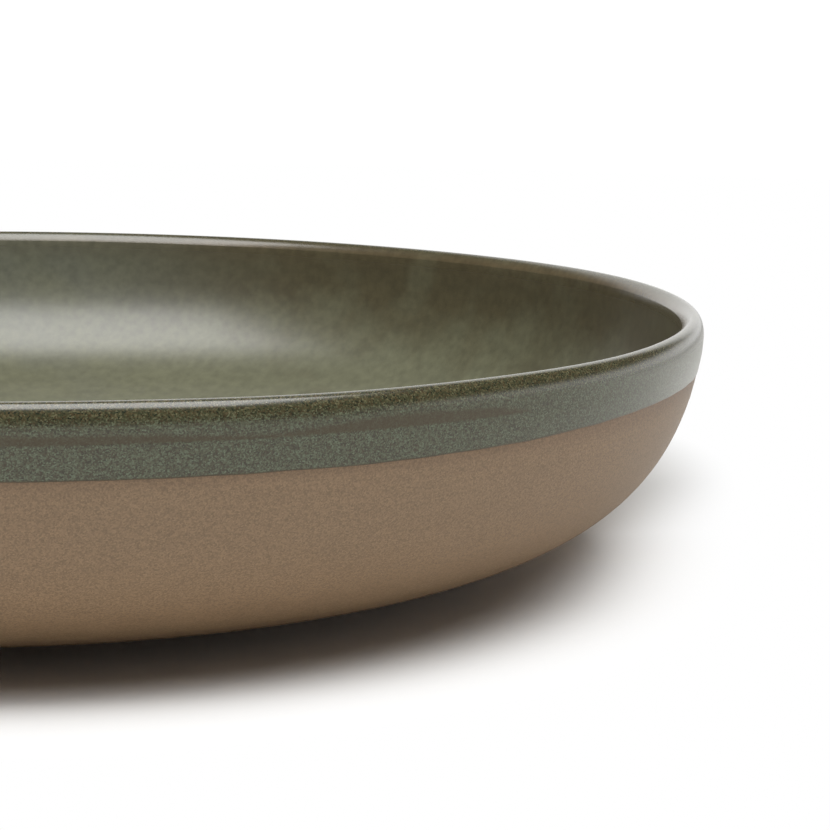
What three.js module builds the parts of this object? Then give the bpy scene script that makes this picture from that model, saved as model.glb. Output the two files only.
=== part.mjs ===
// A wide, shallow stoneware serving bowl: a turned clay body on a foot ring, with two coats of glaze.
// Millimetres, +Z up. The origin is on the bowl's axis, at the level that the foot ring stands on.
import * as THREE from 'three';

// Overall sizes, measured over the glaze
const rimDiameter = 320;
const bowlHeight = 58.2;
const lipThickness = 4.8;

// Lip: its crest stands near the outer edge, and its top rolls down to the inner edge
const lipOuterRun = 1.4; // from the widest circle in to the crest
const lipOuterRise = 1.8; // from the widest circle up to the crest
const lipInnerDrop = 1.4; // from the crest down to the inner edge

// Wall: how far each side stays upright below the lip, and where its knee turns under
const outerUpright = 29;
const outerKnee = 17.7; // knee inside the rim circle
const outerKneeRise = 1.3; // knee above the top of the foot
const innerUpright = 27;
const innerKnee = 19; // knee inside the lip's inner edge

// Floor: a shallow dish inside the wall
const floorDiameter = 180;
const floorThickness = 6.5; // at the centre
const floorDish = 0.7; // edge of the floor above its centre

// Foot ring, turned out of the body, and the recessed base inside it
const footDiameter = 192;
const footHeight = 3.2;
const footRootWidth = 11;
const footTaper = 1.5; // each side of the ring leans in by this much
const baseRecess = 2;

// Glaze: the inside coat laps over the lip, and the band coat goes on from there down to bare clay
const glazeThickness = 0.3;
const glazeGap = 0.02; // kept between a coat and the clay
const lapDepth = 6.6; // the inside coat reaches this far below the clay's crest
const coatsApart = 0.3; // between the two coats
const bandWidth = 6.2; // height of the band coat

// Facets
const turnSteps = 64;
const wallSteps = 10;
const rimSteps = 2;
const bandSteps = 2;
const lipSteps = 4;
const floorSteps = 3;

// Derived sizes of the clay under the glaze
const coatDepth = glazeGap + glazeThickness;
const clayRadius = rimDiameter / 2 - coatDepth;
const clayHeight = bowlHeight - coatDepth;
const innerRadius = clayRadius - (lipThickness - 2 * coatDepth);
const crestRadius = clayRadius - lipOuterRun;
const widestLevel = clayHeight - lipOuterRise;
const innerEdgeLevel = clayHeight - lipInnerDrop;
const lapLevel = clayHeight - lapDepth;
const bandTop = lapLevel - coatsApart;
const bandBottom = bandTop - bandWidth;
const footRadius = footDiameter / 2;
const footInnerRadius = footRadius - footRootWidth;
const floorRadius = floorDiameter / 2;
const floorCentreLevel = baseRecess + floorThickness;
const floorEdgeLevel = floorCentreLevel + floorDish;
const floorEdgeSlope = (2 * floorDish) / floorRadius;
const innerKneeRadius = innerRadius - innerKnee;

const at = (radius, level) => new THREE.Vector2(radius, level);

// Half-section curves, in the order that they follow each other round the clay
const outerWall = new THREE.CubicBezierCurve(
  at(footRadius, footHeight),
  at(clayRadius - outerKnee, footHeight + outerKneeRise),
  at(clayRadius, widestLevel - outerUpright),
  at(clayRadius, widestLevel),
);
const lipOutside = new THREE.EllipseCurve(
  crestRadius, widestLevel, lipOuterRun, lipOuterRise, 0, Math.PI / 2,
);
const lipInside = new THREE.EllipseCurve(
  crestRadius, innerEdgeLevel, crestRadius - innerRadius, lipInnerDrop, Math.PI / 2, Math.PI,
);
const innerWall = new THREE.CubicBezierCurve(
  at(innerRadius, innerEdgeLevel),
  at(innerRadius, innerEdgeLevel - innerUpright),
  at(innerKneeRadius, floorEdgeLevel + floorEdgeSlope * (innerKneeRadius - floorRadius)),
  at(floorRadius, floorEdgeLevel),
);
const floorCurve = new THREE.QuadraticBezierCurve(
  at(floorRadius, floorEdgeLevel),
  at(floorRadius / 2, floorCentreLevel),
  at(0, floorCentreLevel),
);

// Points along a curve between two of its parameters, both ends included
function along(curve, steps, start = 0, end = 1) {
  return Array.from({ length: steps + 1 }, (_, i) => curve.getPoint(start + ((end - start) * i) / steps));
}

// Parameter at which a rising curve reaches a level, found by halving
function parameterAt(curve, level) {
  let low = 0;
  let high = 1;
  for (let i = 0; i < 50; i += 1) {
    const middle = (low + high) / 2;
    if (curve.getPoint(middle).y < level) low = middle;
    else high = middle;
  }
  return (low + high) / 2;
}

// One line from stretches that share their end points
function joined(...stretches) {
  return stretches.flatMap((stretch, i) => (i === 0 ? stretch : stretch.slice(1)));
}

// The same line moved away from the clay, square to its surface; a point on the axis stays on it
function lifted(line, distance) {
  return line.map((point, i) => {
    if (i === line.length - 1 && point.x === 0) return at(0, point.y + distance);
    const before = line[Math.max(i - 1, 0)];
    const after = line[Math.min(i + 1, line.length - 1)];
    const way = after.clone().sub(before).normalize();
    return at(point.x + way.y * distance, point.y - way.x * distance);
  });
}

// Outline of a coat that lies on a stretch of the clay, from its underside back over its face
function coatOutline(line) {
  return [...lifted(line, glazeGap).reverse(), ...lifted(line, coatDepth)];
}

// A solid of revolution about +Z, from a half-section that runs anticlockwise
function turned(name, outline, finish) {
  const geometry = new THREE.LatheGeometry(outline, turnSteps).rotateX(Math.PI / 2);
  const mesh = new THREE.Mesh(geometry, new THREE.MeshStandardMaterial(finish));
  mesh.name = name;
  return mesh;
}

// The outer wall in its stretches: bare clay, under the band coat, between the coats, under the lap
const bandBottomAt = parameterAt(outerWall, bandBottom);
const bandTopAt = parameterAt(outerWall, bandTop);
const lapAt = parameterAt(outerWall, lapLevel);
const bareStretch = along(outerWall, wallSteps, 0, bandBottomAt);
const bandStretch = along(outerWall, bandSteps, bandBottomAt, bandTopAt);
const lapStretch = along(outerWall, rimSteps, lapAt, 1);
const insideStretch = joined(
  lapStretch,
  along(lipOutside, lipSteps),
  along(lipInside, lipSteps),
  along(innerWall, wallSteps),
  along(floorCurve, floorSteps),
);

const underside = [
  at(0, baseRecess),
  at(footInnerRadius, baseRecess),
  at(footInnerRadius + footTaper, 0),
  at(footRadius - footTaper, 0),
];
const clayOutline = [...underside, ...joined(bareStretch, bandStretch), ...insideStretch];

const bandLoop = coatOutline(bandStretch);

const bowl = new THREE.Group();
bowl.add(
  turned('clay_body', clayOutline, { color: 0x85715a, roughness: 0.9, metalness: 0 }),
  turned('inside_glaze', coatOutline(insideStretch), { color: 0x747660, roughness: 0.38, metalness: 0 }),
  turned('band_glaze', [...bandLoop, bandLoop[0]], { color: 0x5c6254, roughness: 0.45, metalness: 0 }),
);

export default bowl;
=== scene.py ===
import math

import bpy
import numpy as np
from mathutils import Matrix, Vector


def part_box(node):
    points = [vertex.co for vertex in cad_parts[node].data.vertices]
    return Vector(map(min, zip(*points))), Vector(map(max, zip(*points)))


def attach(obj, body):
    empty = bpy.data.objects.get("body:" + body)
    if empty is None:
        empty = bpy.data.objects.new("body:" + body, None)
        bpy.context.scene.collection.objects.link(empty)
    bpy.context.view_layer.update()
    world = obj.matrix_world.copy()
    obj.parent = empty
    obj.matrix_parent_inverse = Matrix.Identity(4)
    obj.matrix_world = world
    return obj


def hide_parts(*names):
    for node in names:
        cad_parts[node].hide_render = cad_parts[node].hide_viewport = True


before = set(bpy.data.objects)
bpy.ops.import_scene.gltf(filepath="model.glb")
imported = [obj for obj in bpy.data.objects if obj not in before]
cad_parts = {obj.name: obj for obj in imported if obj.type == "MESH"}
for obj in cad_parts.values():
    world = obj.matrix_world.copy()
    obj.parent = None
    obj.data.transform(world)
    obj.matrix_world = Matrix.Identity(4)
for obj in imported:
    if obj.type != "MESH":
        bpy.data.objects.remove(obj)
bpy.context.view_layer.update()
print("frame loaded:", ", ".join(sorted(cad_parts)))

mm = 0.001
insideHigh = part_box("inside_glaze")[1]
bandLow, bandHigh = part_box("band_glaze")

# the turned section that all three pieces share, in mm; the rim and the band come from the frame
bowlShape = {
    "rimRadius": insideHigh.x / mm,
    "rimHeight": insideHigh.z / mm,
    "bandTop": bandHigh.z / mm,
    "bandBottom": bandLow.z / mm,
    "coat": 0.32,            # glaze and the hair of room under it
    "lipThickness": 4.8,
    "lipOuterRun": 2.2,      # from the side of the wall in to the crest
    "lipOuterRise": 4.7,     # from where the side starts to round, up to the crest
    "lipInnerDrop": 2.3,     # from the crest down to the inner wall
    "outerPull": 0.6,        # share of the lip's outer curve that keeps the direction of each end
    "crestPull": 0.35,       # the same for its inner curve, at the crest and at the wall
    "edgePull": 0.3,
    "outerTopDrop": 1.8,     # the two walls' curves end this far below the crest
    "innerTopDrop": 1.4,
    "wallInset": 0.8,        # above the floor the inner wall moves in by this much, between two levels
    "insetLow": 9.0,
    "insetHigh": 16.0,
    "wallLean": 0.8,         # and higher up it opens out again
    "leanLow": 38.0,
    "leanHigh": 58.0,
    "flare": 0.48,           # both sides of the upper wall lean out
    "flareLow": 32.0,
    "flareHigh": 57.0,
    "warpLow": 12.0,         # the rim's unevenness grows between these levels
    "warpHigh": 52.0,
    "outerUpright": 29.0,
    "outerKnee": 17.7,
    "outerKneeRise": 1.3,
    "innerUpright": 27.0,
    "innerKnee": 19.0,
    "floorRadius": 90.0,
    "floorThickness": 6.5,
    "floorDish": 0.7,
    "footRadius": 96.0,
    "footHeight": 3.2,
    "footRootWidth": 11.0,
    "footTaper": 1.5,
    "baseRecess": 2.0,
    "turnSteps": 480,
}
turnAngles = np.linspace(0, 2 * np.pi, bowlShape["turnSteps"], endpoint=False)
clayRadius = bowlShape["rimRadius"] - bowlShape["coat"]
clayHeight = bowlShape["rimHeight"] - bowlShape["coat"]
innerRadius = clayRadius - bowlShape["lipThickness"] + 2 * bowlShape["coat"]
crestRadius = clayRadius - bowlShape["lipOuterRun"]
widestLevel = clayHeight - bowlShape["lipOuterRise"]
innerEdgeLevel = clayHeight - bowlShape["lipInnerDrop"]
floorCentre = bowlShape["baseRecess"] + bowlShape["floorThickness"]


def bezier(controls, count):
    t = np.linspace(0, 1, count)[:, None]
    p = np.array(controls, float)
    return (1 - t) ** 3 * p[0] + 3 * (1 - t) ** 2 * t * p[1] + 3 * (1 - t) * t ** 2 * p[2] + t ** 3 * p[3]


# one line from lines that share their end points
def joinLines(*lines):
    return np.concatenate([lines[0]] + [line[1:] for line in lines[1:]])


# unit normals of a half-section line, pointing out of the clay
def outward(line):
    way = np.diff(line, axis=0)
    way /= np.linalg.norm(way, axis=1)[:, None]
    way = np.concatenate([way[:1], way[:-1] + way[1:], way[-1:]])
    way /= np.linalg.norm(way, axis=1)[:, None]
    return np.stack([way[:, 1], -way[:, 0]], 1)


# running length along a half-section line
def runLength(line):
    return np.concatenate([[0], np.cumsum(np.linalg.norm(np.diff(line, axis=0), axis=1))])


# points of a line at given running lengths
def pointsAt(line, stops):
    length = runLength(line)
    return np.stack([np.interp(stops, length, line[:, k]) for k in (0, 1)], 1)


# eases from 0 to 1 between two values, or back where the first is the larger
def smooth(low, high, value):
    t = np.clip((value - low) / (high - low), 0, 1)
    return t * t * (3 - 2 * t)


# slow waves round the bowl, from a few sines with seeded phases; about plus or minus 1
def roundWaves(counts, seed):
    draw = np.random.default_rng(seed)
    total = np.zeros_like(turnAngles)
    for count in counts:
        total += np.sin(count * turnAngles + draw.uniform(0, 2 * np.pi)) * draw.uniform(0.6, 1.0)
    return total / math.sqrt(len(counts))


# the part of a bezier before or after it crosses a level, as evenly spaced points
def cutCurve(controls, level, count, keepAfter):
    curve = bezier(controls, 1600)
    length = runLength(curve)
    up = 1 if curve[-1, 1] > curve[0, 1] else -1
    cut = np.interp(up * level, up * curve[:, 1], length)
    stops = np.linspace(cut, length[-1], count) if keepAfter else np.linspace(0, cut, count)
    return pointsAt(curve, stops)


def outerWallLine(count):
    s = bowlShape
    top = clayHeight - s["outerTopDrop"]
    return cutCurve([
        (s["footRadius"], s["footHeight"]),
        (clayRadius - s["outerKnee"], s["footHeight"] + s["outerKneeRise"]),
        (clayRadius, top - s["outerUpright"]),
        (clayRadius, top),
    ], widestLevel, count, False)


# the outer wall in fine steps, which the pieces read their points from
outerWall = outerWallLine(800)


def innerLean(level):
    s = bowlShape
    t = np.clip((level - s["leanLow"]) / (s["leanHigh"] - s["leanLow"]), 0, 1)
    return s["wallLean"] * t ** 2 - s["wallInset"] * smooth(s["insetLow"], s["insetHigh"], level)


def insideLine(wallCount, floorCount):
    s = bowlShape
    edge = floorCentre + s["floorDish"]
    slope = 2 * s["floorDish"] / s["floorRadius"]
    knee = innerRadius - s["innerKnee"]
    top = clayHeight - s["innerTopDrop"]
    wall = cutCurve([
        (innerRadius, top),
        (innerRadius, top - s["innerUpright"]),
        (knee, edge + slope * (knee - s["floorRadius"])),
        (s["floorRadius"], edge),
    ], innerEdgeLevel, wallCount, True)
    wall[:, 0] += innerLean(wall[:, 1])
    r = np.linspace(s["floorRadius"], 0, floorCount)
    floor = np.stack([r, floorCentre + s["floorDish"] * (r / s["floorRadius"]) ** 2], 1)
    return joinLines(wall, floor)


# the lip's outer side goes on from the wall and rounds faster towards the crest; inside it slopes down to
# a tight edge, where it meets the inner wall
def lipLine(count):
    s = bowlShape
    below, top = outerWallLine(400)[-2:]
    tilt = (top[0] - below[0]) / (top[1] - below[1])
    rise = s["outerPull"] * s["lipOuterRise"]
    outer = bezier([
        (top[0], widestLevel),
        (top[0] + tilt * rise, widestLevel + rise),
        (crestRadius + s["outerPull"] * s["lipOuterRun"], clayHeight),
        (crestRadius, clayHeight),
    ], count)
    edge, under = insideLine(40, 4)[:2]
    slope = (edge[0] - under[0]) / (edge[1] - under[1])
    reach = s["edgePull"] * s["lipInnerDrop"]
    inner = bezier([
        (crestRadius, clayHeight),
        (crestRadius - s["crestPull"] * (crestRadius - edge[0]), clayHeight),
        (edge[0] + slope * reach, edge[1] + reach),
        tuple(edge),
    ], count)
    return joinLines(outer, inner)


# the rim isn't quite level: slow waves, two shallow dips and a slight rise round it, in mm and degrees,
# which fade out down the wall
rimWaves = [
    {"count": 1, "height": 0.15, "highAt": 20},
    {"count": 2, "height": 0.10, "highAt": 10},
]
rimDips = [
    {"at": -67, "spread": 13, "depth": 0.45},
    {"at": -42, "spread": 14, "depth": 0.50},
    {"at": 12, "spread": 20, "depth": -0.35},
]


def rimDip():
    total = np.zeros_like(turnAngles)
    for dip in rimDips:
        away = (np.degrees(turnAngles) - dip["at"] + 180) % 360 - 180
        total += dip["depth"] * np.exp(-(away / dip["spread"]) ** 2)
    return total


def warped(level):
    s = bowlShape
    lift = sum(w["height"] * np.cos(w["count"] * (turnAngles - np.radians(w["highAt"]))) for w in rimWaves)
    return level + (lift - rimDip())[:, None] * smooth(s["warpLow"], s["warpHigh"], level)


# a closed turned mesh from radius and level grids (turn steps by section points), in mm;
# cover is how fully the glaze hides the clay at each point, kept on the mesh for its material
def turnedPiece(name, radius, level, onAxis, cover=None):
    s = bowlShape
    steps, count = radius.shape
    first, last = (1, count - 1) if onAxis else (0, count)
    ringed = last - first
    radius = radius + s["flare"] * smooth(s["flareLow"], s["flareHigh"], level)
    level = warped(level)
    x = radius[:, first:last] * np.cos(turnAngles)[:, None]
    y = radius[:, first:last] * np.sin(turnAngles)[:, None]
    verts = np.stack([x, y, level[:, first:last]], 2).reshape(-1, 3)
    i, j = np.meshgrid(np.arange(steps), np.arange(ringed - 1 if onAxis else ringed), indexing="ij")
    after, along = (i + 1) % steps, (j + 1) % ringed
    quads = np.stack([i * ringed + j, after * ringed + j, after * ringed + along, i * ringed + along], 2)
    faces = quads.reshape(-1, 4).tolist()
    if onAxis:  # fans close the two ends of the section
        low, high = len(verts), len(verts) + 1
        verts = np.concatenate([verts, [[0, 0, level[:, 0].mean()], [0, 0, level[:, -1].mean()]]])
        for k in range(steps):
            n = (k + 1) % steps
            faces.append((low, n * ringed, k * ringed))
            faces.append((high, k * ringed + ringed - 1, n * ringed + ringed - 1))
    mesh = bpy.data.meshes.new(name)
    mesh.from_pydata((verts * mm).tolist(), [], faces)
    mesh.polygons.foreach_set("use_smooth", [True] * len(mesh.polygons))
    if cover is not None:
        values = cover[:, first:last].reshape(-1)
        if onAxis:
            values = np.concatenate([values, [1.0, 1.0]])
        mesh.attributes.new("glazeCover", "FLOAT", "POINT").data.foreach_set("value", values)
    mesh.update()
    piece = bpy.data.objects.new(name, mesh)
    bpy.context.scene.collection.objects.link(piece)
    return piece


# bare clay body, with the marks of turning on the outside, the foot and the base; in mm
clayBody = {
    "burrLevel": 41.1,       # fine raised line that the tool left below the glaze
    "burrHeight": 0.03,
    "burrWidth": 0.32,
    "burrReach": 0.6,        # rows lie close this far to both sides of it
    "burrRows": 11,
    "ringSpacing": 2.6,      # turning marks up the wall
    "ringDepth": 0.010,
    "baseRingSpacing": 5.0,  # trimming spiral under the base
    "baseRingDepth": 0.10,
    "baseRows": 56,
    "footRound": 0.7,
    "wallStart": 1.2,        # first row above the foot
    "wallStep": 0.9,
    "underBand": 2.4,        # the fine rows go on this far under the band coat
    "bandRows": 6,           # the clay under the coats needs few rows
    "lipRows": 5,
    "innerRows": 18,
    "floorRows": 6,
}


def makeClay():
    s, c = bowlShape, clayBody
    recess, footRadius, footHeight = s["baseRecess"], s["footRadius"], s["footHeight"]
    root = footRadius - s["footRootWidth"]
    ringIn, ringOut = root + s["footTaper"], footRadius - s["footTaper"]
    baseRadii = np.linspace(0, root - c["footRound"], c["baseRows"])
    base = np.stack([baseRadii, np.full(c["baseRows"], recess)], 1)
    # the foot ring: inner side, standing face and outer side, with the corners rounded
    foot = np.array([
        (root - 0.2, recess - 0.08), (root + 0.1, recess - 0.35),
        (ringIn - 0.35, 0.55), (ringIn - 0.05, 0.16), (ringIn + 0.5, 0.0), (ringIn + 2.5, 0.0),
        (ringOut - 2.5, 0.0), (ringOut - 0.5, 0.0), (ringOut + 0.05, 0.16), (ringOut + 0.35, 0.6),
        (footRadius - 0.5, footHeight - 1.0), (footRadius - 0.2, footHeight - 0.35),
        (footRadius + 0.3, footHeight),
    ])
    length = runLength(outerWall)
    burrAt = np.interp(c["burrLevel"], outerWall[:, 1], length)
    bandAt = np.interp(s["bandBottom"] + c["underBand"], outerWall[:, 1], length)
    stops = np.concatenate([
        np.arange(c["wallStart"], bandAt, c["wallStep"]),
        burrAt + np.linspace(-c["burrReach"], c["burrReach"], c["burrRows"]),
        np.linspace(bandAt, length[-1], c["bandRows"]),
    ])
    wall = pointsAt(outerWall, np.unique(np.round(stops, 2)))
    hidden = joinLines(lipLine(c["lipRows"]), insideLine(c["innerRows"], c["floorRows"]))
    line = np.concatenate([base, foot, wall[:-1], hidden])
    normal = outward(line)
    radius, level = line[:, 0], line[:, 1]
    rows = np.arange(len(line))
    onBase = rows < len(base)
    onWall = (rows >= len(base) + len(foot)) & (rows < len(line) - len(hidden))
    # the spiral fades out at the centre and at the foot, the turning marks at the foot and at the glaze
    spiral = np.cos(2 * np.pi * radius / c["baseRingSpacing"] + turnAngles[:, None])
    fadeBase = onBase * smooth(2.0, 8.0, radius) * smooth(root - 1.0, root - 4.0, radius)
    lift = fadeBase * spiral * c["baseRingDepth"] / 2
    turns = 2 * np.pi * level / c["ringSpacing"]
    marks = np.cos(turns) + 0.7 * np.cos(1.63 * turns + 1.0) + 0.5 * np.cos(0.37 * turns + 2.0)
    glaze = s["bandBottom"]
    fadeWall = onWall * smooth(4.0, 9.0, level) * smooth(glaze - 0.2, glaze - 1.5, level)
    lift += fadeWall * marks * c["ringDepth"] / 2
    lift += onWall * c["burrHeight"] * np.exp(-((level - c["burrLevel"]) / c["burrWidth"]) ** 2)
    return turnedPiece("clayBody", radius + normal[:, 0] * lift, level + normal[:, 1] * lift, True)


# above where the two coats meet, the glaze lies thin and the clay browns it, in two runs at the front; in mm
thinStreak = {
    "level": 0.15,           # meeting line above the band's top in the frame
    "gap": 0.01,
    "low": 50.9,             # lower edge of the streak
    "tops": [(-180, 1.2), (-120, 1.5), (-90, 1.7), (-80, 1.4), (-73, 0.5), (-66, 2.2), (-61, 2.4), (-56, 1.6),
             (-52, 0.0), (70, 0.0), (110, 1.0), (150, 0.5), (180, 1.2)],  # its height, by azimuth
    "ragged": 0.12,
    "lowSoft": 0.25,         # softness of its two edges
    "topSoft": 0.55,
    "dip": 0.03,             # the glaze is this much lower in the streak
    "strength": 0.74,
}


def streakBare(level):
    m = thinStreak
    azimuth = (np.degrees(turnAngles) + 180) % 360 - 180
    height = np.interp(azimuth, *zip(*m["tops"])) + m["ragged"] * roundWaves((17, 29, 41), 33)
    height = height[:, None]
    over = warped(level) - m["low"]
    thin = smooth(-m["lowSoft"], m["lowSoft"], over) * smooth(m["topSoft"], -m["topSoft"], over - height)
    return m["strength"] * smooth(0.0, 0.6, height) * thin


# inside coat: floor, inner wall and lip, and down the outside to where the coats meet; in mm
insideCoat = {
    "thickness": 0.30,
    "underGap": 0.02,
    "lipThin": 0.08,         # thinner on the lip's inner edge
    "lipBare": 0.55,
    "edgeTilt": 26,          # the edge is where the surface tilts by about this many degrees
    "edgeSpread": 18,
    "edgeFade": 6.0,         # and it fades out this far down the inner wall
    "swell": 0.03,           # uneven thickness
    "lapRows": 18,
    "lipRows": 24,
    "wallRows": 60,
    "floorRows": 22,
}


def makeInsideCoat():
    s, c, m = bowlShape, insideCoat, thinStreak
    start = s["bandTop"] + m["level"] + m["gap"] / 2
    levels = start + np.concatenate([[0, 0.015], np.linspace(0.12, widestLevel - start, c["lapRows"])])
    lap = np.stack([np.interp(levels, outerWall[:, 1], outerWall[:, 0]), levels], 1)
    line = joinLines(lap, lipLine(c["lipRows"]), insideLine(c["wallRows"], c["floorRows"]))
    normal = outward(line)
    normal[0] = normal[2]
    normal[-1] = (0, 1)
    rows = np.arange(len(line))
    # the streak lies on the lap and the first rows of the lip
    outside = rows < len(lap) + 6
    bare = outside * streakBare(np.broadcast_to(line[:, 1], (s["turnSteps"], len(line))))
    pastCrest = rows > len(lap) + c["lipRows"] - 1
    tilt = np.degrees(np.arctan2(normal[:, 1], -normal[:, 0]))
    edge = pastCrest * smooth(innerEdgeLevel - c["edgeFade"], innerEdgeLevel, line[:, 1])
    edge = edge * np.exp(-((tilt - c["edgeTilt"]) / c["edgeSpread"]) ** 2)
    # the thickness is uneven on the wall and the floor, and even on the lip and at the axis
    along = runLength(line)
    waves = np.sin(along / 9.0) * 0.5 + np.sin(along / 5.3 + 1.3) * 0.3
    slow = roundWaves((2, 3, 5, 8), 11)[:, None] * 0.5 + waves
    thick = c["thickness"] - m["dip"] * bare - c["lipThin"] * edge
    thick += c["swell"] * slow * smooth(0.0, 20.0, along[-1] - along) * smooth(14.0, 32.0, along)
    cover = 1 - bare - c["lipBare"] * edge * (0.8 + 0.2 * roundWaves((3, 7, 12, 21), 35)[:, None])
    # every third row is enough for the side that lies on the clay
    under = np.unique(np.concatenate([rows[::3], [rows[-1]]]))[::-1]
    lift = np.concatenate([np.full((s["turnSteps"], len(under)), c["underGap"]), c["underGap"] + thick], 1)
    order = np.concatenate([under, rows])
    return turnedPiece("insideGlaze", line[order, 0] + normal[order, 0] * lift,
                       line[order, 1] + normal[order, 1] * lift, True, cover[:, order])


# band coat: from where the coats meet down to its wavy edge on the bare clay; in mm
bandCoat = {
    "thickness": 0.30,
    "underGap": 0.02,
    "bead": 0.02,            # a little thicker just above its edge
    "beadAt": 0.8,
    "beadWidth": 0.6,
    "edgeRound": 0.30,
    "edgeThickness": 0.12,   # it thins towards its edge
    "edgeThins": 4.5,
    "edgeBare": 0.45,        # height over which the edge shows brown
    "swell": 0.015,
    "edgeRise": 1.75,        # the dip was tilted, so the edge climbs on one side
    "edgeDip": 0.9,          # and follows this share of the rim's dips
    "edgeRuns": 0.10,
    "edgeRows": [0, 0.03, 0.08, 0.16, 0.27, 0.40, 0.60, 0.9],  # heights above the edge
    "upperFrom": 1.2,        # and from here on evenly spaced
    "upperRows": 26,
}


def glazeEdgeLevel():
    c = bandCoat
    climb = c["edgeRise"] * smooth(0.45, 0.90, np.cos(turnAngles))
    runs = roundWaves((9, 14, 23, 31), 5) + 0.5 * roundWaves((47, 61, 83), 6)
    return bowlShape["bandBottom"] + climb + c["edgeDip"] * rimDip() + c["edgeRuns"] * runs


def makeBandCoat():
    s, c, m = bowlShape, bandCoat, thinStreak
    normals = outward(outerWall)
    top = s["bandTop"] + m["level"] - m["gap"] / 2
    bottom = glazeEdgeLevel()[:, None]
    edge = np.array(c["edgeRows"])
    share = np.concatenate([np.linspace(0, 0.97, c["upperRows"]), [0.997, 1.0]])
    upper = c["upperFrom"] + share * (top - bottom - c["upperFrom"])
    up = np.concatenate([np.broadcast_to(edge, (s["turnSteps"], len(edge))), upper], 1)
    face = bottom + up
    bare = streakBare(face)
    roundEdge = np.sqrt(np.clip(1 - (1 - np.clip(up / c["edgeRound"], 0, 1)) ** 2, 0, 1))
    inward = smooth(0.2, c["edgeThins"], up)
    thick = c["edgeThickness"] * roundEdge + (c["thickness"] - c["edgeThickness"]) * inward
    thick += c["bead"] * np.exp(-((up - c["beadAt"]) / c["beadWidth"]) ** 2)
    thick += c["swell"] * roundWaves((3, 5, 9, 16), 21)[:, None] * smooth(0.4, 1.5, up) - m["dip"] * bare
    thick *= smooth(-0.02, 0.06, up)
    cover = smooth(0.0, c["edgeBare"], up) - bare
    # every fourth row is enough for the side that lies on the clay
    under = face[:, ::-1][:, ::4]
    level = np.concatenate([under, face], 1)
    lift = c["underGap"] + np.concatenate([np.zeros_like(under), thick], 1)
    wallLevel = outerWall[:, 1]
    radius = np.interp(level, wallLevel, outerWall[:, 0]) + np.interp(level, wallLevel, normals[:, 0]) * lift
    level = level + np.interp(level, wallLevel, normals[:, 1]) * lift
    return turnedPiece("bandGlaze", radius, level, False,
                       np.concatenate([cover[:, ::-1][:, ::4], cover], 1))


def linear(hexColour):
    parts = [int(hexColour[i:i + 2], 16) / 255 for i in (1, 3, 5)]
    return tuple(p / 12.92 if p <= 0.04045 else ((p + 0.055) / 1.055) ** 2.4 for p in parts) + (1.0,)


# adds a node; settings are its attributes, its input values or a colour ramp's stops, and links are
# input name to output socket
def addNode(tree, kind, settings=None, links=None):
    node = tree.nodes.new(kind)
    for key, value in (settings or {}).items():
        if key == "ramp":
            stops = node.color_ramp.elements
            while len(stops) < len(value):
                stops.new(1.0)
            for stop, (position, colour) in zip(stops, value):
                stop.position, stop.color = position, linear(colour)
        elif isinstance(key, str) and hasattr(node, key):
            setattr(node, key, value)
        else:
            node.inputs[key].default_value = value
    for key, socket in (links or {}).items():
        tree.links.new(socket, node.inputs[key])
    return node


# settings of a map range node: eased between two values, or straight over what a noise texture mostly fills
def eased(low, high, toLow=0.0, toHigh=1.0):
    return {"interpolation_type": "SMOOTHSTEP", "From Min": low, "From Max": high,
            "To Min": toLow, "To Max": toHigh}


def overNoise(toLow, toHigh):
    return {"From Min": 0.3, "From Max": 0.7, "To Min": toLow, "To Max": toHigh}


# settings of a noise texture with features of a size in mm
def noiseOf(size, detail):
    return {"Scale": 1 / (size * mm), "Detail": detail}


def newMaterial(name):
    material = bpy.data.materials.new(name)
    material.use_nodes = True
    material.node_tree.nodes.clear()
    return material, material.node_tree


# stoneware fired bare: matt and sandy, with fine grog and faint lines from the turning tool; sizes in mm
bareStoneware = {
    "body": "#826c53",
    "warm": "#856d53",
    "flush": "#735b45",      # redder just below the glaze
    "flushLow": 42.0,
    "flushHigh": 45.0,
    "flushShare": 0.55,
    "palest": 1.36,          # grains against the body
    "darkest": 0.68,
    "grain": 0.27,           # sand grains
    "fineShare": 0.35,       # fine noise among them
    "cloud": 24.0,           # uneven firing
    "line": 0.7,             # turning lines
    "lineFlat": (0.03, 0.03, 1.0),  # they are drawn out along the level
    "lineTone": 0.025,
    "paintedBounce": 1.16,        # painted light: lighter towards the foot, standing in for light bounced up from the paper
    "bounceHigh": 32.0,
    "bounceLow": 8.0,
    "speck": 4.0,            # between coarse pale grains
    "speckFrom": 0.6,        # share of places without one
    "speckSize": 0.045,      # largest, as a share of the spacing
    "speckColour": "#9c8568",
    "bump": 0.35,
    "bumpHeight": 0.05,
    "roughness": 0.52,
}


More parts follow.
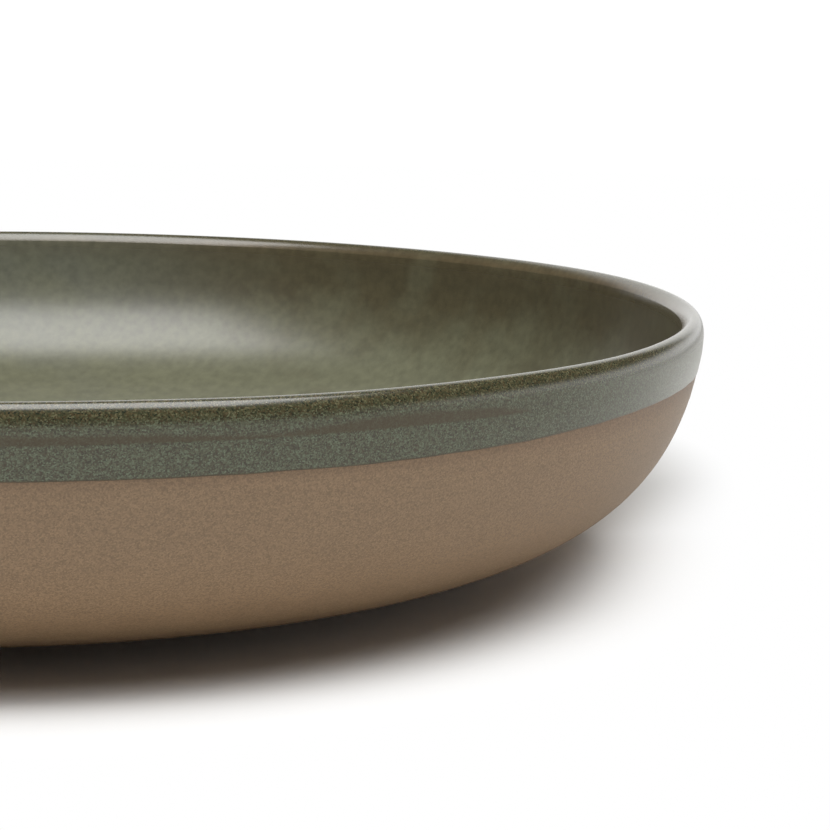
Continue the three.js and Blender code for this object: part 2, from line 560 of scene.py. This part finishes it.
def stonewareMaterial():
    m = bareStoneware
    material, tree = newMaterial("bareStoneware")
    place = addNode(tree, "ShaderNodeTexCoord").outputs["Object"]
    height = addNode(tree, "ShaderNodeSeparateXYZ", None, {"Vector": place}).outputs["Z"]
    cloud = addNode(tree, "ShaderNodeTexNoise", noiseOf(m["cloud"], 3.0), {"Vector": place})
    tint = addNode(tree, "ShaderNodeMix",
                   {"data_type": "RGBA", "A": linear(m["body"]), "B": linear(m["warm"])},
                   {"Factor": cloud.outputs["Fac"]})
    flush = addNode(tree, "ShaderNodeMapRange",
                    eased(m["flushLow"] * mm, m["flushHigh"] * mm, 0.0, m["flushShare"]), {"Value": height})
    tint = addNode(tree, "ShaderNodeMix", {"data_type": "RGBA", "B": linear(m["flush"])},
                   {"Factor": flush.outputs["Result"], "A": tint.outputs["Result"]})
    # sand: cells of random tone, softened by a fine noise
    cells = addNode(tree, "ShaderNodeTexVoronoi", {"Scale": 1 / (m["grain"] * mm)}, {"Vector": place})
    tone = addNode(tree, "ShaderNodeSeparateColor", None, {"Color": cells.outputs["Color"]})
    fine = addNode(tree, "ShaderNodeTexNoise", noiseOf(1.6 * m["grain"], 2.0), {"Vector": place})
    grain = addNode(tree, "ShaderNodeMix", {"Factor": m["fineShare"]},
                    {"A": tone.outputs["Red"], "B": fine.outputs["Fac"]})
    shade = addNode(tree, "ShaderNodeMapRange", {"To Min": m["darkest"], "To Max": m["palest"]},
                    {"Value": grain.outputs["Result"]})
    # turning lines: a noise drawn out along the level
    stretch = addNode(tree, "ShaderNodeVectorMath", {"operation": "MULTIPLY", 1: m["lineFlat"]}, {0: place})
    lines = addNode(tree, "ShaderNodeTexNoise", noiseOf(m["line"], 2.0),
                    {"Vector": stretch.outputs["Vector"]})
    lined = addNode(tree, "ShaderNodeMapRange", overNoise(1 - m["lineTone"], 1 + m["lineTone"]),
                    {"Value": lines.outputs["Fac"]})
    both = addNode(tree, "ShaderNodeMath", {"operation": "MULTIPLY"},
                   {0: shade.outputs["Result"], 1: lined.outputs["Result"]})
    # painted light bounced from the paper: the clay grows lighter downwards between the two levels
    bounceLit = addNode(tree, "ShaderNodeMapRange",
                    eased(m["bounceHigh"] * mm, m["bounceLow"] * mm, 1.0, m["paintedBounce"]), {"Value": height})
    both = addNode(tree, "ShaderNodeMath", {"operation": "MULTIPLY"},
                   {0: both.outputs["Value"], 1: bounceLit.outputs["Result"]})
    colour = addNode(tree, "ShaderNodeVectorMath", {"operation": "SCALE"},
                     {"Vector": tint.outputs["Result"], "Scale": both.outputs["Value"]})
    # coarse pale grains, few and small
    spots = addNode(tree, "ShaderNodeTexVoronoi", {"Scale": 1 / (m["speck"] * mm)}, {"Vector": place})
    spotTone = addNode(tree, "ShaderNodeSeparateColor", None, {"Color": spots.outputs["Color"]})
    spotSize = addNode(tree, "ShaderNodeMapRange", {"From Min": m["speckFrom"], "To Max": m["speckSize"]},
                       {"Value": spotTone.outputs["Red"]})
    spotMask = addNode(tree, "ShaderNodeMath", {"operation": "LESS_THAN"},
                       {0: spots.outputs["Distance"], 1: spotSize.outputs["Result"]})
    colour = addNode(tree, "ShaderNodeMix", {"data_type": "RGBA", "B": linear(m["speckColour"])},
                     {"Factor": spotMask.outputs["Value"], "A": colour.outputs["Vector"]})
    bump = addNode(tree, "ShaderNodeBump", {"Strength": m["bump"], "Distance": m["bumpHeight"] * mm},
                   {"Height": grain.outputs["Result"]})
    shader = addNode(tree, "ShaderNodeBsdfPrincipled", {"Roughness": m["roughness"]},
                     {"Base Color": colour.outputs["Result"], "Normal": bump.outputs["Normal"]})
    addNode(tree, "ShaderNodeOutputMaterial", None, {"Surface": shader.outputs["BSDF"]})
    return material


# speckle of the glaze outside and on the lip: fine grains from dark brown to blue-green, with brown ones
# among them, and more broken on the lip; sizes in mm
glazeSpeckle = {
    "grain": 0.25,           # from one grain to the next
    "cluster": 4.0,          # patches of thinner cover
    "hues": [(0.0, "#332e21"), (0.45, "#4a4b37"), (1.0, "#64705a")],
    "brown": "#4a3826",
    "brownFrom": 0.6,        # share of grains that stay green, and from where on the rest are full brown
    "brownFull": 0.75,
    "brownShare": 0.38,
    "lipHues": [(0.0, "#20261a"), (0.4, "#3b3d29"), (0.75, "#4a4831"), (1.0, "#69664c")],
    "lipBrown": "#523a24",
    "lipFrom": 53.0,         # level where the lip's broken colour begins, and where it is full
    "lipFull": 56.2,
    "thin": "#42351b",       # clay showing through thin glaze
    "patchy": 0.03,          # uneven cover
    "bump": 0.2,
    "bumpHeight": 0.02,
}


# colour of the speckled glaze, and the height of its grains
def speckledColour(tree, place):
    m = glazeSpeckle
    cells = addNode(tree, "ShaderNodeTexVoronoi", {"Scale": 1 / (m["grain"] * mm)}, {"Vector": place})
    tone = addNode(tree, "ShaderNodeSeparateColor", None, {"Color": cells.outputs["Color"]})
    grain = addNode(tree, "ShaderNodeTexNoise", noiseOf(1.3 * m["grain"], 1.5), {"Vector": place})
    browned = addNode(tree, "ShaderNodeMapRange", {"From Min": m["brownFrom"], "From Max": m["brownFull"],
                                                   "To Max": m["brownShare"]},
                      {"Value": tone.outputs["Green"]})
    hues = []
    for ramp, brown in ((m["hues"], m["brown"]), (m["lipHues"], m["lipBrown"])):
        hue = addNode(tree, "ShaderNodeValToRGB", {"ramp": ramp}, {"Fac": tone.outputs["Red"]})
        hue = addNode(tree, "ShaderNodeMix", {"data_type": "RGBA", "B": linear(brown)},
                      {"Factor": browned.outputs["Result"], "A": hue.outputs["Color"]})
        hues.append(hue.outputs["Result"])
    height = addNode(tree, "ShaderNodeSeparateXYZ", None, {"Vector": place}).outputs["Z"]
    onLip = addNode(tree, "ShaderNodeMapRange", eased(m["lipFrom"] * mm, m["lipFull"] * mm),
                    {"Value": height})
    tint = addNode(tree, "ShaderNodeMix", {"data_type": "RGBA"},
                   {"Factor": onLip.outputs["Result"], "A": hues[0], "B": hues[1]})
    cover = addNode(tree, "ShaderNodeAttribute", {"attribute_name": "glazeCover"})
    cluster = addNode(tree, "ShaderNodeTexNoise", noiseOf(m["cluster"], 3.0), {"Vector": place})
    patch = addNode(tree, "ShaderNodeMapRange", overNoise(-2 * m["patchy"], m["patchy"]),
                    {"Value": cluster.outputs["Fac"]})
    uneven = addNode(tree, "ShaderNodeMath", {"operation": "ADD", "use_clamp": True},
                     {0: cover.outputs["Fac"], 1: patch.outputs["Result"]})
    colour = addNode(tree, "ShaderNodeMix", {"data_type": "RGBA", "A": linear(m["thin"])},
                     {"Factor": uneven.outputs["Value"], "B": tint.outputs["Result"]})
    return colour.outputs["Result"], grain.outputs["Fac"]


# satin glaze over stoneware, poured inside: grey-green, softly mottled, with a low even gloss; sizes in mm
satinGlaze = {
    "floor": "#64644f",
    "wall": "#5f6052",
    "wallLow": 26.0,         # levels between which the floor's colour turns to the wall's
    "wallHigh": 47.0,
    "wallPatchy": 0.35,
    "shadedWall": "#4d4733",   # painted shade: darker and browner towards +X, where the inner wall faces away from the light
    "shadeFrom": 5.0,
    "shadeFull": 95.0,
    "lipEdge": "#6b5a42",    # clay warming the lip's inner edge
    "mottle": 2.4,
    "mottleTone": 0.14,
    "cloud": 16.0,           # patches where the wall colour reaches lower or higher
    "swirl": 9.0,            # slow waves that break up the highlight
    "swirlBump": 0.3,
    "swirlHeight": 0.15,
    "speckleFrom": innerRadius + 0.6,  # the speckle sets in over the lip, between these radii
    "speckleFull": crestRadius + 0.2,
    "roughness": 0.30,
    "lipRoughness": 0.23,    # glossier where it ran thin over the lip, above these levels
    "glossFrom": 53.0,
    "glossFull": 55.5,
    "ior": 1.62,
}


def satinMaterial():
    m, g = satinGlaze, glazeSpeckle
    material, tree = newMaterial("satinGlaze")
    place = addNode(tree, "ShaderNodeTexCoord").outputs["Object"]
    split = addNode(tree, "ShaderNodeSeparateXYZ", None, {"Vector": place})
    cloud = addNode(tree, "ShaderNodeTexNoise", noiseOf(m["cloud"], 4.0), {"Vector": place})
    mottle = addNode(tree, "ShaderNodeTexNoise", noiseOf(m["mottle"], 3.0), {"Vector": place})
    rise = addNode(tree, "ShaderNodeMapRange",
                   {"From Min": m["wallLow"] * mm, "From Max": m["wallHigh"] * mm},
                   {"Value": split.outputs["Z"]})
    patch = addNode(tree, "ShaderNodeMapRange", overNoise(-m["wallPatchy"], m["wallPatchy"]),
                    {"Value": cloud.outputs["Fac"]})
    lean = addNode(tree, "ShaderNodeMath", {"operation": "ADD", "use_clamp": True},
                   {0: rise.outputs["Result"], 1: patch.outputs["Result"]})
    # painted shade: the inside turns to the darker, browner colour towards +X
    side = addNode(tree, "ShaderNodeMapRange", eased(m["shadeFrom"] * mm, m["shadeFull"] * mm),
                   {"Value": split.outputs["X"]})
    wall = addNode(tree, "ShaderNodeMix",
                   {"data_type": "RGBA", "A": linear(m["wall"]), "B": linear(m["shadedWall"])},
                   {"Factor": side.outputs["Result"]})
    plain = addNode(tree, "ShaderNodeMix", {"data_type": "RGBA", "A": linear(m["floor"])},
                    {"Factor": lean.outputs["Value"], "B": wall.outputs["Result"]})
    cover = addNode(tree, "ShaderNodeAttribute", {"attribute_name": "glazeCover"})
    plain = addNode(tree, "ShaderNodeMix", {"data_type": "RGBA", "A": linear(m["lipEdge"])},
                    {"Factor": cover.outputs["Fac"], "B": plain.outputs["Result"]})
    shade = addNode(tree, "ShaderNodeMapRange", overNoise(1 - m["mottleTone"], 1 + m["mottleTone"]),
                    {"Value": mottle.outputs["Fac"]})
    plain = addNode(tree, "ShaderNodeVectorMath", {"operation": "SCALE"},
                    {"Vector": plain.outputs["Result"], "Scale": shade.outputs["Result"]})
    # over the lip the plain inside turns into the speckled outside
    speckled, grain = speckledColour(tree, place)
    flat = addNode(tree, "ShaderNodeVectorMath", {"operation": "MULTIPLY", 1: (1.0, 1.0, 0.0)}, {0: place})
    reach = addNode(tree, "ShaderNodeVectorMath", {"operation": "LENGTH"}, {"Vector": flat.outputs["Vector"]})
    outside = addNode(tree, "ShaderNodeMapRange", eased(m["speckleFrom"] * mm, m["speckleFull"] * mm),
                      {"Value": reach.outputs["Value"]})
    colour = addNode(tree, "ShaderNodeMix", {"data_type": "RGBA"},
                     {"Factor": outside.outputs["Result"], "A": plain.outputs["Vector"], "B": speckled})
    swirl = addNode(tree, "ShaderNodeTexNoise", noiseOf(m["swirl"], 2.0), {"Vector": place})
    wave = addNode(tree, "ShaderNodeBump", {"Strength": m["swirlBump"], "Distance": m["swirlHeight"] * mm},
                   {"Height": swirl.outputs["Fac"]})
    bump = addNode(tree, "ShaderNodeBump", {"Strength": g["bump"], "Distance": g["bumpHeight"] * mm},
                   {"Height": grain, "Normal": wave.outputs["Normal"]})
    gloss = addNode(tree, "ShaderNodeMapRange",
                    eased(m["glossFrom"] * mm, m["glossFull"] * mm, m["roughness"], m["lipRoughness"]),
                    {"Value": split.outputs["Z"]})
    shader = addNode(tree, "ShaderNodeBsdfPrincipled", {"IOR": m["ior"]},
                     {"Base Color": colour.outputs["Result"], "Normal": bump.outputs["Normal"],
                      "Roughness": gloss.outputs["Result"]})
    addNode(tree, "ShaderNodeOutputMaterial", None, {"Surface": shader.outputs["BSDF"]})
    return material


# the same glaze dipped on the outside: fine blue-green and brown speckle under a soft sheen
speckledGlaze = {
    "roughness": 0.30,
    "ior": 1.62,
}


def speckledMaterial():
    m, g = speckledGlaze, glazeSpeckle
    material, tree = newMaterial("speckledGlaze")
    place = addNode(tree, "ShaderNodeTexCoord").outputs["Object"]
    speckled, grain = speckledColour(tree, place)
    bump = addNode(tree, "ShaderNodeBump", {"Strength": g["bump"], "Distance": g["bumpHeight"] * mm},
                   {"Height": grain})
    shader = addNode(tree, "ShaderNodeBsdfPrincipled", {"Roughness": m["roughness"], "IOR": m["ior"]},
                     {"Base Color": speckled, "Normal": bump.outputs["Normal"]})
    addNode(tree, "ShaderNodeOutputMaterial", None, {"Surface": shader.outputs["BSDF"]})
    return material


clay = makeClay()
clay.data.materials.append(stonewareMaterial())
inside = makeInsideCoat()
inside.data.materials.append(satinMaterial())
band = makeBandCoat()
band.data.materials.append(speckledMaterial())
for piece, node, slot in ((clay, "clay_body", "bare_stoneware"), (inside, "inside_glaze", "satin_glaze"),
                          (band, "band_glaze", "speckled_glaze")):
    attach(piece, "root")
    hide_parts(node)
made = ["%s %d faces" % (piece.name, len(piece.data.polygons)) for piece in (clay, inside, band)]
print("pieces made:", ", ".join(made))

# sheet of white paper under the bowl, which the camera sees fade to pure white; in m
sweep = {
    "radius": 1.5,
    "paper": "#f0efec",
    "frontY": -0.060,        # between these the front's values turn to the back's
    "backY": 0.070,
    "frontGain": 1.25,       # how bright the camera sees the paper; the lower value behind paints shade on it near the bowl
    "backGain": 0.57,
    "frontFade": (0.122, 0.170),  # where it begins to fade and is white, from the shadow's line
    "backFade": (0.152, 0.182),
    "shadowLean": 0.25,      # that line goes off to the right behind the bowl
    "farY": 0.07,            # it ends here, so the paper far behind is white too
    "mirrored": (0.60, 1.18),  # how bright glossy surfaces see the paper, in front and behind: painted shade in front, painted light behind
    "mirrorY": 0.15,         # the one turns to the other from minus this to plus this
}


def makeSweep():
    bpy.ops.mesh.primitive_circle_add(vertices=96, radius=sweep["radius"], fill_type="NGON",
                                      location=(0, 0, 0))
    floor = bpy.context.object
    floor.name = "whiteSweep"
    material, tree = newMaterial("whitePaper")
    ray = addNode(tree, "ShaderNodeLightPath")
    paper = linear(sweep["paper"])
    place = addNode(tree, "ShaderNodeTexCoord").outputs["Object"]
    split = addNode(tree, "ShaderNodeSeparateXYZ", None, {"Vector": place})
    x, y = split.outputs["X"], split.outputs["Y"]
    frontY, backY, mirrorY = sweep["frontY"], sweep["backY"], sweep["mirrorY"]
    # the paper as the camera, glossy surfaces and the rest of the scene see it; the camera's and the glossy
    # values change from front to back, painting shade and light on it
    gain = addNode(tree, "ShaderNodeMapRange",
                   eased(frontY, backY, sweep["frontGain"], sweep["backGain"]), {"Value": y})
    seen = addNode(tree, "ShaderNodeVectorMath", {"operation": "SCALE", 0: paper[:3]},
                   {"Scale": gain.outputs["Result"]})
    level = addNode(tree, "ShaderNodeMapRange", eased(-mirrorY, mirrorY, *sweep["mirrored"]), {"Value": y})
    mirrored = addNode(tree, "ShaderNodeVectorMath", {"operation": "SCALE", 0: paper[:3]},
                       {"Scale": level.outputs["Result"]})
    tint = addNode(tree, "ShaderNodeMix", {"data_type": "RGBA", "A": paper},
                   {"Factor": ray.outputs["Is Glossy Ray"], "B": mirrored.outputs["Vector"]})
    tint = addNode(tree, "ShaderNodeMix", {"data_type": "RGBA"},
                   {"Factor": ray.outputs["Is Camera Ray"], "A": tint.outputs["Result"],
                    "B": seen.outputs["Vector"]})
    lit = addNode(tree, "ShaderNodeBsdfDiffuse", None, {"Color": tint.outputs["Result"]})
    white = addNode(tree, "ShaderNodeEmission", {"Strength": 1.0})
    # distance from the line that the shadow follows: it starts on the bowl's axis and leans to the right
    behind = addNode(tree, "ShaderNodeMath", {"operation": "MAXIMUM", 1: 0.0}, {0: y})
    before = addNode(tree, "ShaderNodeMath", {"operation": "MINIMUM", 1: 0.0}, {0: y})
    across = addNode(tree, "ShaderNodeMath", {"operation": "MULTIPLY_ADD", 1: -sweep["shadowLean"]},
                     {0: behind.outputs["Value"], 2: x})
    far = addNode(tree, "ShaderNodeMath", {"operation": "SUBTRACT", 1: sweep["farY"]}, {0: y})
    beyond = addNode(tree, "ShaderNodeMath", {"operation": "MAXIMUM"},
                     {0: before.outputs["Value"], 1: far.outputs["Value"]})
    spot = addNode(tree, "ShaderNodeCombineXYZ", None,
                   {"X": across.outputs["Value"], "Y": beyond.outputs["Value"]})
    reach = addNode(tree, "ShaderNodeVectorMath", {"operation": "LENGTH"}, {"Vector": spot.outputs["Vector"]})
    ends = [addNode(tree, "ShaderNodeMapRange",
                    eased(frontY, backY, sweep["frontFade"][k], sweep["backFade"][k]), {"Value": y})
            for k in (0, 1)]
    fade = addNode(tree, "ShaderNodeMapRange", {"interpolation_type": "SMOOTHSTEP"},
                   {"Value": reach.outputs["Value"], "From Min": ends[0].outputs["Result"],
                    "From Max": ends[1].outputs["Result"]})
    share = addNode(tree, "ShaderNodeMath", {"operation": "MULTIPLY"},
                    {0: ray.outputs["Is Camera Ray"], 1: fade.outputs["Result"]})
    both = addNode(tree, "ShaderNodeMixShader", None,
                   {0: share.outputs["Value"], 1: lit.outputs["BSDF"], 2: white.outputs["Emission"]})
    addNode(tree, "ShaderNodeOutputMaterial", None, {"Surface": both.outputs["Shader"]})
    floor.data.materials.append(material)


# one softbox over the front of the bowl: azimuth is from +X, elevation above the floor, both in degrees;
# sizes and distance in m
keySoftbox = {
    "azimuth": -96,
    "elevation": 73,
    "distance": 1.1,
    "aimHeight": 0.03,
    "width": 1.43,
    "length": 0.86,
    "power": 22.2,
}


def makeLight():
    light = keySoftbox
    lamp = bpy.data.lights.new("keySoftbox", "AREA")
    lamp.shape = "RECTANGLE"
    lamp.size, lamp.size_y = light["width"], light["length"]
    lamp.energy = light["power"]
    a, e = math.radians(light["azimuth"]), math.radians(light["elevation"])
    away = Vector((math.cos(a) * math.cos(e), math.sin(a) * math.cos(e), math.sin(e)))
    holder = bpy.data.objects.new("keySoftbox", lamp)
    holder.location = Vector((0, 0, light["aimHeight"])) + away * light["distance"]
    holder.rotation_euler = (-away).to_track_quat("-Z", "Y").to_euler()
    holder.visible_camera = False
    bpy.context.scene.collection.objects.link(holder)


# a tall white screen stands behind the bowl, a low one runs on to its right, and the room in front is dim;
# edge is the cosine of the angle from a screen's middle, at its edge and inside it, and top is the sine of
# the height above the horizon, over its top and below it
surround = {
    "screens": [
        {"azimuth": 85, "edge": (0.75, 0.93), "top": (0.90, 0.60)},
        {"azimuth": 40, "edge": (0.10, 0.60), "top": (0.24, 0.08)},
    ],
    "bright": 1.4,
    "dim": 0.07,
}


def makeSurround():
    world = bpy.data.worlds.new("studioSurround")
    world.use_nodes = True
    tree = world.node_tree
    tree.nodes.clear()
    way = addNode(tree, "ShaderNodeTexCoord").outputs["Generated"]
    split = addNode(tree, "ShaderNodeSeparateXYZ", None, {"Vector": way})
    flat = addNode(tree, "ShaderNodeVectorMath", {"operation": "MULTIPLY", 1: (1.0, 1.0, 0.0)}, {0: way})
    heading = addNode(tree, "ShaderNodeVectorMath", {"operation": "NORMALIZE"}, {0: flat.outputs["Vector"]})
    shares = []
    for screen in surround["screens"]:
        toward = math.radians(screen["azimuth"])
        facing = addNode(tree, "ShaderNodeVectorMath",
                         {"operation": "DOT_PRODUCT", 1: (math.cos(toward), math.sin(toward), 0.0)},
                         {0: heading.outputs["Vector"]})
        edge = addNode(tree, "ShaderNodeMapRange", eased(*screen["edge"]), {"Value": facing.outputs["Value"]})
        top = addNode(tree, "ShaderNodeMapRange", eased(*screen["top"]), {"Value": split.outputs["Z"]})
        share = addNode(tree, "ShaderNodeMath", {"operation": "MULTIPLY"},
                        {0: edge.outputs["Result"], 1: top.outputs["Result"]})
        shares.append(share.outputs["Value"])
    lit = addNode(tree, "ShaderNodeMath", {"operation": "MAXIMUM"}, {0: shares[0], 1: shares[1]})
    level = addNode(tree, "ShaderNodeMapRange", {"To Min": surround["dim"], "To Max": surround["bright"]},
                    {"Value": lit.outputs["Value"]})
    # the camera itself sees white
    ray = addNode(tree, "ShaderNodeLightPath")
    level = addNode(tree, "ShaderNodeMath", {"operation": "MAXIMUM"},
                    {0: level.outputs["Result"], 1: ray.outputs["Is Camera Ray"]})
    back = addNode(tree, "ShaderNodeBackground", {"Color": (1.0, 1.0, 1.0, 1.0)},
                   {"Strength": level.outputs["Value"]})
    addNode(tree, "ShaderNodeOutputWorld", None, {"Surface": back.outputs["Background"]})
    bpy.context.scene.world = world


# camera where the photograph was taken from, in metres and degrees; the lens and sensor in mm
photoCamera = {
    "back": 0.560,
    "height": 0.12185,
    "turn": 9.861,
    "tilt": 9.253,
    "roll": 1.238,
    "lens": 105.45,
    "sensor": 36.0,
}


def makeCamera():
    c = photoCamera
    data = bpy.data.cameras.new("photoCamera")
    data.lens = c["lens"]
    data.sensor_width = c["sensor"]
    data.clip_start, data.clip_end = 0.01, 50.0
    camera = bpy.data.objects.new("photoCamera", data)
    turn = Matrix.Rotation(-math.radians(c["turn"]), 4, "Z")
    tilt = Matrix.Rotation(math.radians(90 - c["tilt"]), 4, "X")
    roll = Matrix.Rotation(math.radians(c["roll"]), 4, "Z")
    camera.matrix_world = Matrix.Translation((0, -c["back"], c["height"])) @ turn @ tilt @ roll
    bpy.context.scene.collection.objects.link(camera)
    bpy.context.scene.camera = camera


makeSweep()
makeLight()
makeSurround()
makeCamera()
bpy.context.scene.view_settings.view_transform = "Standard"
print("stage, light and camera made")
